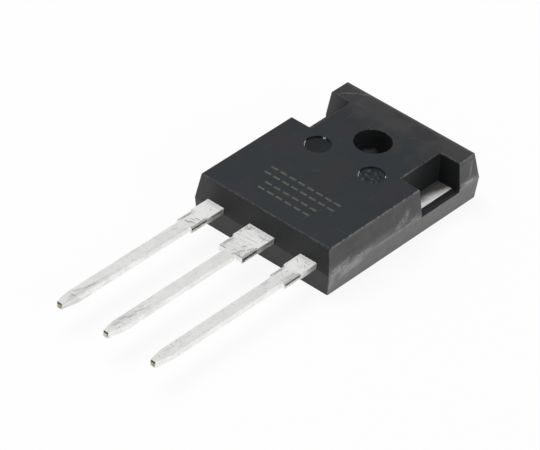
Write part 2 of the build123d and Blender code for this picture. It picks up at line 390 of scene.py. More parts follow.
def tin_colour(tree, spot, zone, texture):
    """Matt tin on rolled faces and bright tin on stamped sides, partly painted light from the
    table; cloudy, streaked and grained.
    """
    colour = blend(tree, zone.flat, SIDE_TIN, FACE_TIN)
    bared = times(tree, invert(tree, zone.outside), ramp(tree, spot["Z"], 0.5, 1))
    colour = blend(tree, bared, colour, TAB_TIN)
    colour = blend(tree, ramp(tree, texture.clouds, 0.4, 0.7, 0, 0.22), colour, DULL_TIN)
    colour = blend(tree, ramp(tree, texture.streaks, 0.5, 0.75, 0, 0.18), colour, DULL_TIN)
    speckle = ramp(tree, texture.grain, 0.52, 0.68)
    speckle = times(tree, speckle, ramp(tree, zone.busy, 0, 1, 0.3, 0.6))
    colour = blend(tree, speckle, colour, DULL_TIN)
    colour = blend(tree, ramp(tree, texture.grain, 0.46, 0.3, 0, 0.35), colour, BRIGHT_TIN)

    # Shoulders are painted brighter towards the body, as light that offsets the body's shade
    painted_light = ramp(tree, spot["Y"], shoulder_end_y - 1, body_lead_end_y - 1, 0, 0.55)
    return blend(tree, times(tree, painted_light, zone.flat, zone.outside), colour, BRIGHT_TIN)


def painted_plate_shade(tree, spot, zone, clouds):
    """Painted shade on the bared plate, along the notches' inner and rear walls."""
    off_middle = calc(tree, "ABSOLUTE", spot["X"])
    off_middle = calc(tree, "SUBTRACT", off_middle, times(tree, spot["Y"], shade_slant))
    off_middle = calc(tree, "ADD", off_middle, ramp(tree, clouds, 0.35, 0.65, -0.15, 0.15))
    plate_shade = ramp(tree, off_middle, shade_clear_x, shade_full_x, 0, 0.95)
    on_top = ramp(tree, spot["Z"], plate_top_z - 0.1, plate_top_z - 0.05)
    return times(tree, plate_shade, on_top, invert(tree, zone.outside))


def drawn_sides(tree, spot, sideways):
    """Dark lines where the die drew the shoulders' sides, weakest on the right lead."""
    drawn = use(tree, band, Value=spot["Y"], Low=trim_start_y, High=body_lead_end_y, Soft=0.05)
    lines = noise(tree, vector_calc(tree, "MULTIPLY", spot["Place"], (1, 0.25, 1.6)), 4, 3, 0.6)
    lines = ramp(tree, lines, 0.35, 0.65, 0.15, 0.75)
    return times(tree, drawn, sideways, lines, ramp(tree, spot["X"], 2, 4, 0.9, 0.35))


def handling_marks(tree, spot, zone):
    """Fine scratches, pits and larger marks, most of them near the tips and on the shoulders."""
    place = spot["Place"]
    fine = crossed_scratches(tree, place, 1.3, 0.14, 0.69)
    fine = times(tree, fine, zone.flat, ramp(tree, zone.busy, 0, 1, 0.3, 0.65))
    pits = use(tree, specks, Place=place, Spacing=0.42, Radius=0.07, Level=0.88)
    pits = times(tree, pits, ramp(tree, zone.busy, 0, 1, 0.25, 0.7))
    knocks = times(tree, strokes(tree, place, lead_marks, 0.55), zone.flat)
    return most(tree, fine, pits, knocks)


def tie_bar_cuts(tree, spot, zone, texture, colour):
    """The tie bars' cuts: a rolled-over edge, a strip painted dark as the burr's shade, then torn
    and smeared metal.
    """
    outer_lead = ramp(tree, calc(tree, "ABSOLUTE", spot["X"]), 2, 3, -0.03, 0.1)
    smeared = ramp(tree, calc(tree, "ADD", texture.torn, outer_lead), 0.46, 0.58)
    cut_colour = blend(tree, smeared, TORN_COPPER, SMEARED_TIN)
    height = texture.wavy_z
    rolled_over = ramp(tree, height, burr_shade_high_z, burr_shade_high_z + 0.05)
    cut_colour = blend(tree, rolled_over, cut_colour, SMEARED_TIN)
    # A strip painted dark under the rolled-over edge, as the shade of its burr
    burr_shade = use(
        tree, band, Value=height, Low=burr_shade_low_z, High=burr_shade_high_z, Soft=0.1
    )
    cut_colour = blend(tree, times(tree, burr_shade, 0.95), cut_colour, CUT_SHADE)
    colour = blend(tree, zone.cut, colour, cut_colour)

    # The corners that were lost with the tie bars: painted shade where they face left, smeared on
    # the right
    corner_colour = blend(tree, ramp(tree, texture.torn, 0.5, 0.7), CUT_SHADE, DULL_TIN)
    right_side = ramp(tree, spot["Facing X"], -0.1, 0.1, 0, 0.7)
    corner_colour = blend(tree, right_side, corner_colour, SMEARED_TIN)
    return blend(tree, zone.lost_corner, colour, corner_colour)


def tip_cuts(tree, zone, texture, colour):
    """The cut tips: bare copper with a shadowed step where the cutter met it."""
    tip_colour = blend(tree, ramp(tree, texture.torn, 0.44, 0.62), BARE_COPPER, SMEARED_TIN)
    step = ramp(tree, texture.wavy_z, tip_step_z - 0.05, tip_step_z + 0.05)
    tip_colour = blend(tree, step, tip_colour, CUT_SHADOW)
    return blend(tree, zone.tip_cut, colour, tip_colour)


def bright_edges(tree, spot, zone):
    """Stamped upper edges, rubbed bright and with painted highlights, and a painted bright line
    where the leads leave the body.
    """
    edges = use(tree, band, Value=spot["Facing Z"], Low=0.15, High=0.97, Soft=0.1)
    broken = use(tree, patches, Place=spot["Place"], Size=0.5, Level=0.42, Soft=0.1)
    broken = ramp(tree, broken, 0, 1, 0.35, 0.9)
    edges = times(tree, edges, invert(tree, zone.trimmed), broken)
    line_low, line_high = body_lead_end_y - 0.14, body_lead_end_y + 1
    line = use(tree, band, Value=spot["Y"], Low=line_low, High=line_high, Soft=0.08)
    return times(tree, most(tree, edges, line), zone.outside)


def make_tinned_copper():
    """Matt tin over copper, with the marks of rolling, handling and cutting."""
    material, tree, shader, spot = start_material("tinned_copper")
    zone = lead_zones(tree, spot)
    texture = lead_textures(tree, spot)

    colour = tin_colour(tree, spot, zone, texture)
    # Shade painted on the plate in the notches, next to their inner and rear walls
    plate_shade = painted_plate_shade(tree, spot, zone, texture.clouds)
    colour = blend(tree, plate_shade, colour, NOTCH_PLATE_SHADE)
    colour = blend(tree, drawn_sides(tree, spot, zone.sideways), colour, SCRATCH)
    dull = use(tree, patches, Place=texture.along_lead, Size=0.6, Level=0.5, Soft=0.18)
    dull = times(tree, dull, ramp(tree, zone.near_tip, 0, 1, 0.12, 0.45))
    colour = blend(tree, dull, colour, DULL_TIN)
    colour = blend(tree, handling_marks(tree, spot, zone), colour, SCRATCH)
    colour = tie_bar_cuts(tree, spot, zone, texture, colour)
    colour = tip_cuts(tree, zone, texture, colour)
    # Painted highlights on the upper edges and where the leads leave the body
    colour = blend(tree, bright_edges(tree, spot, zone), colour, BRIGHT_TIN)
    tree.links.new(colour, shader.inputs["Base Color"])

    # Stamped sides mirror most, and the plate in the notches is smoother than the leads are
    metal = ramp(tree, zone.flat, 0, 1, 0.9, 0.25)
    metal = calc(tree, "SUBTRACT", metal, times(tree, invert(tree, zone.outside), 0.15))
    metal = calc(tree, "SUBTRACT", metal, times(tree, zone.lost_corner, 0.3))
    tree.links.new(metal, shader.inputs["Metallic"])
    rough = ramp(tree, zone.outside, 0, 1, 0.32, 0.42)
    rough = calc(tree, "ADD", rough, times(tree, texture.streaks, 0.12))
    rough = calc(tree, "ADD", rough, times(tree, most(tree, zone.cut, zone.tip_cut), 0.2))
    rough = calc(tree, "ADD", rough, times(tree, plate_shade, 0.4))
    tree.links.new(rough, shader.inputs["Roughness"])

    grain = times(tree, texture.grain, ramp(tree, zone.outside, 0, 1, 0.25, 1))
    torn = times(tree, texture.torn, most(tree, zone.cut, zone.tip_cut, zone.lost_corner))
    normal = bump(tree, texture.streaks, 0.005)
    normal = bump(tree, grain, 0.005, normal)
    normal = bump(tree, torn, 0.12, normal)
    tree.links.new(normal, shader.inputs["Normal"])
    return material


def finish(nodes, material):
    """Give CAD nodes a material in place of the plain one that they came with."""
    for name in nodes:
        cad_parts[name].material_slots[0].material = material


finish(("collector_tab", "base_lead", "emitter_lead"), make_tinned_copper())

# ---- Die attach ----------------------------------------------------------------------------------
# A thin layer of soft solder joins the chip to the tab. It was melted in place, so its rim is
# smooth and bright, with a frosted middle where it froze.

FROSTED_SOLDER = (0.42, 0.42, 0.41, 1)
BRIGHT_SOLDER = (0.66, 0.66, 0.64, 1)


def make_solder():
    """Soft solder with coarse frozen grains."""
    material, tree, shader, spot = start_material("solder")
    shader.inputs["Metallic"].default_value = 1.0
    place = spot["Place"]
    grains = add(tree, "ShaderNodeTexVoronoi", {"Vector": place, "Scale": 5.0}).outputs["Distance"]
    frost = noise(tree, place, 2.5, 4, 0.6)
    colour = blend(tree, ramp(tree, frost, 0.4, 0.65), BRIGHT_SOLDER, FROSTED_SOLDER)
    colour = blend(tree, ramp(tree, grains, 0.45, 0.7, 0, 0.3), colour, FROSTED_SOLDER)
    tree.links.new(colour, shader.inputs["Base Color"])
    tree.links.new(ramp(tree, frost, 0.35, 0.7, 0.22, 0.5), shader.inputs["Roughness"])
    tree.links.new(bump(tree, grains, 0.01), shader.inputs["Normal"])
    return material


finish(("die_solder",), make_solder())

# ---- Chip ----------------------------------------------------------------------------------------
# Diced silicon with both transistors, their resistors and the diode on it. The front has aluminium
# pads and fingers under clear glass, and the sides are the saw's cut.

SILICON = (0.035, 0.04, 0.055, 1)
GLASSED_SILICON = (0.06, 0.085, 0.11, 1)
CHIP_ALUMINIUM = (0.72, 0.73, 0.74, 1)

die_low, die_high = (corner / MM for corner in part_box("darlington_die"))
pad_frame = 0.3
base_pad_size = 1.0
base_pad_reach = 1.2
bar_width = 1.2
finger_pitch = 0.42
finger_width = 0.26


def in_box(tree, spot, low_x, low_y, high_x, high_y):
    """1 inside a box drawn on the chip's front."""
    across = use(tree, band, Value=spot["X"], Low=low_x, High=high_x, Soft=0.02)
    along = use(tree, band, Value=spot["Y"], Low=low_y, High=high_y, Soft=0.02)
    return times(tree, across, along)


def make_silicon():
    """Dark silicon whose front carries an aluminium pattern of two pads and their fingers."""
    material, tree, shader, spot = start_material("silicon")
    front = ramp(tree, spot["Facing Z"], 0.8, 0.95)
    low_x, low_y = die_low.x + pad_frame, die_low.y + pad_frame
    high_x, high_y = die_high.x - pad_frame, die_high.y - pad_frame
    inside_streets = in_box(tree, spot, low_x, low_y, high_x, high_y)
    base_pad = in_box(tree, spot, low_x, low_y, low_x + base_pad_size, low_y + base_pad_size)
    near_pad = times(
        tree,
        ramp(tree, spot["X"], low_x + base_pad_reach - 0.02, low_x + base_pad_reach, 1, 0),
        ramp(tree, spot["Y"], low_y + base_pad_reach - 0.02, low_y + base_pad_reach, 1, 0),
    )

    # The emitter's fingers stand on both sides of a bar and keep clear of the base's pad
    step = calc(tree, "FLOORED_MODULO", spot["X"], finger_pitch)
    fingers = use(tree, band, Value=step, Low=0.05, High=0.05 + finger_width, Soft=0.02)
    middle_y = (die_low.y + die_high.y) / 2
    bar_low, bar_high = middle_y - bar_width / 2, middle_y + bar_width / 2
    bar = use(tree, band, Value=spot["Y"], Low=bar_low, High=bar_high, Soft=0.02)
    emitter = times(tree, most(tree, fingers, bar), inside_streets, invert(tree, near_pad))
    metal = times(tree, most(tree, emitter, base_pad), front)

    saw = noise(tree, vector_calc(tree, "MULTIPLY", spot["Place"], (1, 1, 8)), 6, 3, 0.6)
    colour = blend(tree, ramp(tree, saw, 0.4, 0.7, 0, 0.5), SILICON, GLASSED_SILICON)
    colour = blend(tree, front, colour, GLASSED_SILICON)
    colour = blend(tree, metal, colour, CHIP_ALUMINIUM)
    tree.links.new(colour, shader.inputs["Base Color"])
    tree.links.new(times(tree, metal, 0.9), shader.inputs["Metallic"])
    tree.links.new(ramp(tree, front, 0, 1, 0.45, 0.18), shader.inputs["Roughness"])
    normal = bump(tree, metal, 0.004)
    normal = bump(tree, times(tree, saw, invert(tree, front)), 0.004, normal)
    tree.links.new(normal, shader.inputs["Normal"])
    return material


finish(("darlington_die",), make_silicon())

# ---- Bond wires ----------------------------------------------------------------------------------
# Soft aluminium wire, drawn through a die and pressed down by an ultrasonic tool at both its feet,
# one thin wire to the base lead and two thick ones to the emitter lead.

DRAWN_ALUMINIUM = (0.74, 0.745, 0.75, 1)
PRESSED_ALUMINIUM = (0.50, 0.50, 0.505, 1)


def make_drawn_aluminium():
    """Bright aluminium with faint drawing lines, duller where the tool pressed it."""
    material, tree, shader, spot = start_material("drawn_aluminium")
    shader.inputs["Metallic"].default_value = 1.0
    lines = noise(tree, vector_calc(tree, "MULTIPLY", spot["Place"], (0.3, 1, 1)), 22, 2, 0.5)
    pressed = noise(tree, spot["Place"], 5, 3, 0.6)
    colour = blend(tree, ramp(tree, pressed, 0.5, 0.7, 0, 0.7), DRAWN_ALUMINIUM, PRESSED_ALUMINIUM)
    tree.links.new(colour, shader.inputs["Base Color"])
    tree.links.new(ramp(tree, pressed, 0.4, 0.7, 0.25, 0.5), shader.inputs["Roughness"])
    tree.links.new(bump(tree, lines, 0.002), shader.inputs["Normal"])
    return material


finish(("base_bond_wire", "emitter_bond_wire_1", "emitter_bond_wire_2"), make_drawn_aluminium())

# ---- Moulded body --------------------------------------------------------------------------------
# Black mould compound, an epoxy filled with ground silica, pressed round the lead frame in a
# two-part mould. Its front is matt and dark; its long sides are painted pale for the light on them.

COMPOUND = (0.0072, 0.0114, 0.0146, 1)
SKIN_OFF_FRONT = (0.0108, 0.0110, 0.0114, 1)
WARM_COMPOUND = (0.031, 0.0288, 0.0305, 1)
TINTED_COMPOUND = (0.0125, 0.0112, 0.0158, 1)
RECESS_SHADE = (0.004, 0.005, 0.006, 1)
PALE_AND_LIT_COMPOUND = (0.158, 0.156, 0.154, 1)
SCUFFED_AND_LIT_COMPOUND = (0.36, 0.355, 0.352, 1)
PALE_FILLER = (0.24, 0.235, 0.225, 1)
LASER_MARK = (0.105, 0.108, 0.083, 1)
PIN_RIM_GLINT = (0.80, 0.80, 0.79, 1)

parting_z = 2.3
front_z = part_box("moulded_body")[1].z / MM
body_side_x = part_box("moulded_body")[1].x / MM
body_rear_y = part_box("moulded_body")[1].y / MM
hole_radius = 1.8
hole_glow_angle = radians(135)
notch_lead_end_y = -2.45
notch_rear_y = 3.05
pin_mark_x = 3.175
pin_mark_y = -3.86
pin_mark_radius = 1.25
pin_mark_depth = 0.16

# Rows of the marking: Y of the row's middle, X of its start, and number of dashes
mark_rows = ((-9.8, -3.95, 8), (-11.85, -2.9, 6))
mark_pitch = 1.05
mark_length = 0.74
mark_line = 0.22
mark_gap = 0.95

# Painted glints on the pin marks' rims: angle from X, reach, and the X range that holds the mark
rim_glints = ((217, 30, -5, 5), (103, 8, -5, 0), (39, 8, 0, 5))

# Scuffs on the long sides: place along the side, height, angle, length, width and strength
right_scuffs = (
    (-14.50, 1.30, 88, 2.6, 0.16, 0.55),
    (-14.15, 1.70, 84, 1.9, 0.14, 0.4),
    (-13.40, 2.45, 6, 3.4, 1.10, 0.8),
    (-11.80, 1.80, 8, 3.8, 1.30, 0.8),
    (-10.40, 2.45, 0, 4.6, 0.55, 0.65),
    (-14.30, 1.50, 75, 2.2, 0.80, 0.45),
    (-7.00, 2.20, 5, 3.0, 0.30, 0.45),
    (-5.30, 2.75, 32, 2.2, 0.90, 0.5),
    (-4.40, 3.15, 66, 1.9, 0.75, 0.45),
    (-3.40, 2.45, 10, 1.6, 0.50, 0.5),
    (4.30, 2.50, 0, 2.6, 0.60, 0.85),
    (4.60, 3.70, 75, 1.8, 0.35, 0.45),
)
left_scuffs = (
    (-12.40, 2.40, 5, 3.8, 0.55, 0.55),
    (-8.30, 2.30, -3, 4.2, 0.35, 0.5),
    (-5.60, 2.90, 48, 1.9, 0.50, 0.4),
    (4.40, 2.40, 0, 2.2, 0.50, 0.5),
)

# Scuffs on the front: middle, angle, length, width and strength
front_scuffs = (
    (-6.20, 4.05, 42, 1.8, 0.22, 0.26),
    (-5.05, 4.85, 27, 1.6, 0.18, 0.24),
    (-6.75, 3.35, 60, 0.9, 0.20, 0.16),
    (-4.40, 3.30, 12, 1.5, 0.10, 0.12),
    (2.20, 2.90, 35, 1.2, 0.08, 0.12),
    (-1.90, -1.90, 20, 1.0, 0.07, 0.10),
    (3.20, -11.20, 65, 1.1, 0.08, 0.12),
    (-6.10, -7.40, 80, 1.3, 0.08, 0.10),
)


def body_zones(tree, spot):
    """Masks and distances that tell the body's parts apart."""
    x, y, z = spot["X"], spot["Y"], spot["Z"]
    zone = SimpleNamespace()
    zone.across = calc(tree, "ABSOLUTE", x)
    zone.facing_across = calc(tree, "ABSOLUTE", spot["Facing X"])
    zone.facing_along = calc(tree, "ABSOLUTE", spot["Facing Y"])
    zone.facing_through = calc(tree, "ABSOLUTE", spot["Facing Z"])
    zone.frontal = ramp(tree, spot["Facing Z"], 0.8, 0.95)
    zone.endways = ramp(tree, zone.facing_along, 0.6, 0.85)
    zone.near_front = ramp(tree, z, front_z - 0.25, front_z - 0.15)
    outer = ramp(tree, zone.across, body_side_x - 0.6, body_side_x - 0.5)
    zone.side = times(tree, ramp(tree, zone.facing_across, 0.6, 0.85), outer)
    zone.from_hole = vector_calc(tree, "LENGTH", join_xyz(tree, x, y), (0, 0, 0), "Value")
    off_pin_x = calc(tree, "SUBTRACT", zone.across, pin_mark_x)
    off_pin_x = times(tree, off_pin_x, calc(tree, "SIGN", x))
    zone.off_pin = join_xyz(tree, off_pin_x, calc(tree, "SUBTRACT", y, pin_mark_y))
    zone.from_pin = vector_calc(tree, "LENGTH", zone.off_pin, (0, 0, 0), "Value")
    return zone


def body_textures(tree, spot):
    """The noises that the body's colour, roughness and relief share, and its wavy parting line."""
    texture = SimpleNamespace()
    texture.wander = noise(tree, spot["Place"], 0.55, 4, 0.6)
    texture.filler = noise(tree, spot["Place"], 11, 3, 0.7)
    texture.ripple = noise(tree, spot["Place"], 2.2, 3, 0.6)
    waves = ramp(tree, texture.ripple, 0.35, 0.65, -0.09, 0.09)
    texture.wavy_z = calc(tree, "ADD", spot["Z"], waves)
    low, high = parting_z - 0.05, parting_z + 0.05
    texture.back_half = ramp(tree, texture.wavy_z, low, high, 1, 0)
    return texture


def compound_colour(tree, spot, zone, texture):
    """Black compound, cool and dark at the lead end, warmer and greyer towards the rear."""
    warmth = ramp(tree, spot["Y"], -3, body_rear_y)
    warmth = calc(tree, "ADD", warmth, times(tree, spot["X"], 0.008))
    warmth = calc(tree, "ADD", warmth, ramp(tree, texture.wander, 0.3, 0.7, -0.2, 0.25))
    colour = blend(tree, ramp(tree, warmth, 0.3, 1.1), COMPOUND, WARM_COMPOUND)
    tint = noise(tree, spot["Place"], 0.3, 2, 0.5)
    colour = blend(tree, ramp(tree, tint, 0.45, 0.65, 0, 0.8), colour, TINTED_COMPOUND)
    colour = blend(tree, times(tree, invert(tree, zone.frontal), 0.85), colour, SKIN_OFF_FRONT)
    return blend(tree, ramp(tree, texture.filler, 0.5, 0.75, 0, 0.08), colour, PALE_AND_LIT_COMPOUND)


def lit_back_half_and_left_ends(tree, spot, zone, texture):
    """Painted light on the back half's sides and ends, speckled, and on the left on the lead end
    and the notch's two end walls.
    """
    share = most(tree, zone.side, times(tree, zone.endways, 0.18))
    lit_share = times(tree, texture.back_half, ramp(tree, texture.filler, 0.35, 0.65, 0.65, 1), share)
    left_end_light = times(
        tree, zone.endways, ramp(tree, spot["X"], -4.6, -7.6),
        ramp(tree, spot["Y"], notch_rear_y + 0.15, notch_rear_y - 0.05),
        ramp(tree, spot["Y"], -5, 0, 0.22, 0.4)
    )
    return lit_share, left_end_light


def notch_painted_shade(tree, spot, zone):
    """Painted shade in the right notch, darkest towards the rear."""
    return times(
        tree, ramp(tree, zone.across, body_side_x - 0.3, body_side_x - 0.42),
        ramp(tree, spot["Z"], front_z - 0.1, front_z - 0.3),
        ramp(tree, spot["Y"], notch_lead_end_y + 0.25, notch_rear_y - 1.05),
        ramp(tree, spot["X"], 0, 0.1), ramp(tree, zone.from_hole, 4, 4.1),
        ramp(tree, spot["Y"], notch_rear_y + 1.15, notch_rear_y + 0.85)
    )


def painted_hole_glow(tree, spot, wavy_z):
    """A painted patch of light low on the mounting hole's far wall."""
    towards = (cos(hole_glow_angle), sin(hole_glow_angle), 0)
    lean = vector_calc(tree, "DOT_PRODUCT", join_xyz(tree, spot["X"], spot["Y"]), towards, "Value")
    lean = ramp(tree, lean, hole_radius - 0.2, hole_radius - 0.02, 0, 0.85)
    return times(tree, lean, ramp(tree, wavy_z, 3.0, 2.4))


def light_and_scuff_long_sides(tree, spot, zone, texture, colour):
    """The long sides, painted pale as lit, with the back half's sides brushed slantwise."""
    y, side, back_half = spot["Y"], zone.side, texture.back_half
    # Light painted on the long sides, more towards the rear and on the back half near the lead end
    side_light = ramp(tree, texture.wander, 0.3, 0.7, 0.26, 0.44)
    side_light = calc(tree, "ADD", side_light, ramp(tree, y, 0, body_rear_y, 0, 0.14))
    side_light = calc(tree, "ADD", side_light, times(tree, back_half, ramp(tree, y, -8, -12, 0.2, 0.5)))
    colour = blend(tree, times(tree, side_light, side), colour, PALE_AND_LIT_COMPOUND)
    tube_lines = noise(tree, vector_calc(tree, "MULTIPLY", spot["Place"], (1, 0.06, 1)), 5, 3, 0.6)
    tube_lines = ramp(tree, tube_lines, 0.55, 0.72, 0, 0.08)
    colour = blend(tree, times(tree, tube_lines, side), colour, PALE_FILLER)

    side_place = join_xyz(tree, y, spot["Z"], spot["X"])
    brushed = use(
        tree, scratches, Place=side_place, Angle=radians(55), Length=1.1, Width=0.11, Level=0.52
    )
    brushed = times(tree, brushed, back_half, side, 0.16)
    colour = blend(tree, brushed, colour, COMPOUND)

    # Scuffs along the parting line and up the sides
    right = times(tree, strokes(tree, side_place, right_scuffs, 0.65), ramp(tree, spot["X"], 0, 1))
    left = times(tree, strokes(tree, side_place, left_scuffs, 0.65), ramp(tree, spot["X"], 0, -1))
    line_low, line_high = parting_z - 0.05, parting_z + 0.1
    line = use(tree, band, Value=texture.wavy_z, Low=line_low, High=line_high, Soft=0.1)
    line = times(tree, line, ramp(tree, texture.ripple, 0.4, 0.62, 0.15, 0.6))
    from_line = calc(tree, "SUBTRACT", texture.wavy_z, parting_z + 0.15)
    haze = ramp(tree, calc(tree, "ABSOLUTE", from_line), 0.8, 0)
    haze = times(tree, haze, ramp(tree, texture.wander, 0.3, 0.6, 0.05, 0.22))
    haze = times(tree, haze, ramp(tree, spot["X"], -1, 1, 0.5, 1))
    scuffs = times(tree, most(tree, right, left, line, haze), side)
    return blend(tree, scuffs, colour, SCUFFED_AND_LIT_COMPOUND)


def laser_marking(tree, spot, frontal):
    """Laser marking in rows of plain twin dashes."""
    marks = 0.0
    low, high = (mark_gap - mark_line) / 2, (mark_gap + mark_line) / 2
    for row_y, start_x, count in mark_rows:
        end_x = start_x + count * mark_pitch - 0.1
        run = use(tree, band, Value=spot["X"], Low=start_x, High=end_x, Soft=0.02)
        from_start = calc(tree, "SUBTRACT", spot["X"], start_x)
        cell = calc(tree, "FLOORED_MODULO", from_start, mark_pitch)
        dash = use(tree, band, Value=cell, Low=0.1, High=0.1 + mark_length, Soft=0.1)
        off_row = calc(tree, "ABSOLUTE", calc(tree, "SUBTRACT", spot["Y"], row_y))
        line = use(tree, band, Value=off_row, Low=low, High=high, Soft=0.1)
        marks = calc(tree, "ADD", marks, times(tree, run, dash, line))
    burnt = ramp(tree, noise(tree, spot["Place"], 5, 3, 0.7), 0.35, 0.6, 0.4, 1)
    return times(tree, marks, frontal, burnt)


def worn_edges(tree, spot, zone, wander):
    """Rounded edges rubbed pale: the front's and the back's rims, and the upright corners."""
    x, y, z = spot["X"], spot["Y"], spot["Z"]
    chips = use(tree, patches, Place=spot["Place"], Size=0.45, Level=0.47, Soft=0.08)
    along_sides = times(tree, ramp(tree, zone.facing_across, 0.1, 0.4), 0.7)
    along_rear = ramp(tree, y, body_rear_y - 1, body_rear_y - 0.6, 0, 0.9)
    share = most(tree, along_sides, along_rear)
    wear = ramp(tree, wander, 0.35, 0.65, 0.2, 0.5)
    wear = times(tree, wear, ramp(tree, share, 0, 1, 0.25, 1))
    chipped = times(tree, chips, ramp(tree, share, 0, 1, 0.5, 0.65))
    wear = calc(tree, "MAXIMUM", wear, chipped)

    # The rims round the hole, the pin marks, the lead end and the notches are worn less
    rims = use(tree, band, Value=zone.facing_through, Low=0.2, High=0.965, Soft=0.06)
    rims = times(tree, rims, most(tree, zone.near_front, ramp(tree, z, 0.25, 0.15)))
    away = most(tree, ramp(tree, zone.from_hole, hole_radius + 0.3, hole_radius + 0.4), 0.25)
    pin_low, pin_high = pin_mark_radius + 0.1, pin_mark_radius + 0.12
    away = times(tree, away, ramp(tree, zone.from_pin, pin_low, pin_high))
    away = times(tree, away, ramp(tree, y, body_lead_end_y + 0.4, body_lead_end_y + 0.7, 0.3, 1))
    notch_rim = times(
        tree, use(tree, band, Value=zone.across, Low=5, High=body_side_x - 0.5, Soft=0.1),
        ramp(tree, y, notch_lead_end_y - 0.15, 0.5),
        ramp(tree, y, notch_rear_y + 1.15, notch_rear_y + 0.75), ramp(tree, x, -1, 1, 0.95, 0.65)
    )
    rims = times(tree, rims, away, invert(tree, notch_rim))
    corners = times(
        tree, ramp(tree, zone.facing_across, 0.2, 0.4), ramp(tree, zone.facing_along, 0.2, 0.4),
        ramp(tree, zone.facing_through, 0.35, 0.25), ramp(tree, zone.from_hole, 3, 3.1),
        ramp(tree, zone.across, body_side_x - 0.7, body_side_x - 0.6), 0.6
    )
    return times(tree, most(tree, rims, corners), wear)


def rubbed_beside_rims(tree, spot, zone):
    """Beside the front's rims, where the rubbing fades out down the sides and in from the rear."""
    below = times(tree, zone.side, ramp(tree, spot["Z"], front_z - 0.45, front_z - 0.1, 0, 0.14))
    rear_low, rear_high = body_rear_y - 0.95, body_rear_y - 0.55
    inside = times(tree, zone.frontal, ramp(tree, spot["Y"], rear_low, rear_high, 0, 0.28))
    return most(tree, below, inside)


def painted_pin_rim_glints(tree, spot, zone, ripple):
    """Painted glints on parts of the pin marks' rims."""
    rim_low = pin_mark_radius - 0.05
    rim = use(tree, band, Value=zone.from_pin, Low=rim_low, High=pin_mark_radius, Soft=0.03)
    outward = vector_calc(tree, "NORMALIZE", zone.off_pin, (0, 0, 0))
    glint_share = 0.0
    for angle, reach, side_low, side_high in rim_glints:
        towards = (cos(radians(angle)), sin(radians(angle)), 0)
        lean = vector_calc(tree, "DOT_PRODUCT", outward, towards, "Value")
        lean = ramp(tree, lean, cos(radians(reach)), cos(radians(reach * 0.5)))
        on_side = use(tree, band, Value=spot["X"], Low=side_low, High=side_high, Soft=0.1)
        glint_share = calc(tree, "MAXIMUM", times(tree, lean, on_side), glint_share)
    return times(tree, glint_share, rim, zone.near_front, ramp(tree, ripple, 0.35, 0.5, 0.4, 1))


def make_mould_compound():
    """Matt black epoxy, painted pale on its long sides as lit, and rubbed pale on its edges."""
    material, tree, shader, spot = start_material("mould_compound")
    shader.inputs["Specular IOR Level"].default_value = 0.3
    place = spot["Place"]
    zone = body_zones(tree, spot)
    texture = body_textures(tree, spot)

    colour = compound_colour(tree, spot, zone, texture)
    # Painted light on the back half and on the left end walls
    for lit_share in lit_back_half_and_left_ends(tree, spot, zone, texture):
        colour = blend(tree, lit_share, colour, PALE_AND_LIT_COMPOUND)
    # Painted shade in the right notch
    notch_shade = notch_painted_shade(tree, spot, zone)
    colour = blend(tree, times(tree, notch_shade, 0.85), colour, RECESS_SHADE)
    # The hole's wall painted dark as shade, with a patch of painted light low on its far side
    in_hole = ramp(tree, zone.from_hole, hole_radius + 0.01, hole_radius + 0.05, 1, 0)
    colour = blend(tree, in_hole, colour, RECESS_SHADE)
    painted_light = times(tree, in_hole, painted_hole_glow(tree, spot, texture.wavy_z))
    colour = blend(tree, painted_light, colour, SCUFFED_AND_LIT_COMPOUND)
    colour = light_and_scuff_long_sides(tree, spot, zone, texture, colour)

    # Light scuffs and hair scratches on the front
    hairs = times(tree, crossed_scratches(tree, place, 3.5, 0.16, 0.75), 0.08)
    front_marks = most(tree, strokes(tree, place, front_scuffs, 0.6), hairs)
    colour = blend(tree, times(tree, front_marks, zone.frontal), colour, SCUFFED_AND_LIT_COMPOUND)

    # The pins' smooth faces left a smooth floor, painted dark as the shade and dark reflection in
    # it
    in_pin = ramp(tree, zone.from_pin, pin_mark_radius - 0.06, pin_mark_radius - 0.03, 1, 0)
    in_pin = times(tree, in_pin, ramp(tree, spot["Z"], front_z - 0.5, front_z - 0.3))
    colour = blend(tree, times(tree, in_pin, 0.85), colour, RECESS_SHADE)

    marks = laser_marking(tree, spot, zone.frontal)
    colour = blend(tree, marks, colour, LASER_MARK)
    colour = blend(tree, worn_edges(tree, spot, zone, texture.wander), colour, PALE_FILLER)
    colour = blend(tree, rubbed_beside_rims(tree, spot, zone), colour, PALE_AND_LIT_COMPOUND)
    # Painted glints on the pin marks' rims
    glint_share = painted_pin_rim_glints(tree, spot, zone, texture.ripple)
    colour = blend(tree, glint_share, colour, PIN_RIM_GLINT)
    dust = use(tree, specks, Place=place, Spacing=0.9, Radius=0.05, Level=0.9)
    colour = blend(tree, times(tree, dust, 0.4), colour, SCUFFED_AND_LIT_COMPOUND)
    tree.links.new(colour, shader.inputs["Base Color"])

    rough = ramp(tree, texture.wander, 0.3, 0.7, 0.46, 0.54)
    rough = calc(tree, "ADD", rough, times(tree, marks, 0.3))
    smooth_floor = times(tree, in_pin, ramp(tree, spot["X"], 1, -1, 0.05, 0.24))
    rough = calc(tree, "SUBTRACT", rough, smooth_floor)
    rough = calc(tree, "ADD", rough, times(tree, most(tree, notch_shade, in_hole), 0.3))
    tree.links.new(rough, shader.inputs["Roughness"])

    normal = bump(tree, noise(tree, place, 9, 2, 0.5), 0.004)
    normal = bump(tree, texture.filler, 0.004, normal)
    normal = bump(tree, marks, -0.01, normal)
    tree.links.new(normal, shader.inputs["Normal"])
    return material


mould_compound = make_mould_compound()
finish(("moulded_body",), mould_compound)

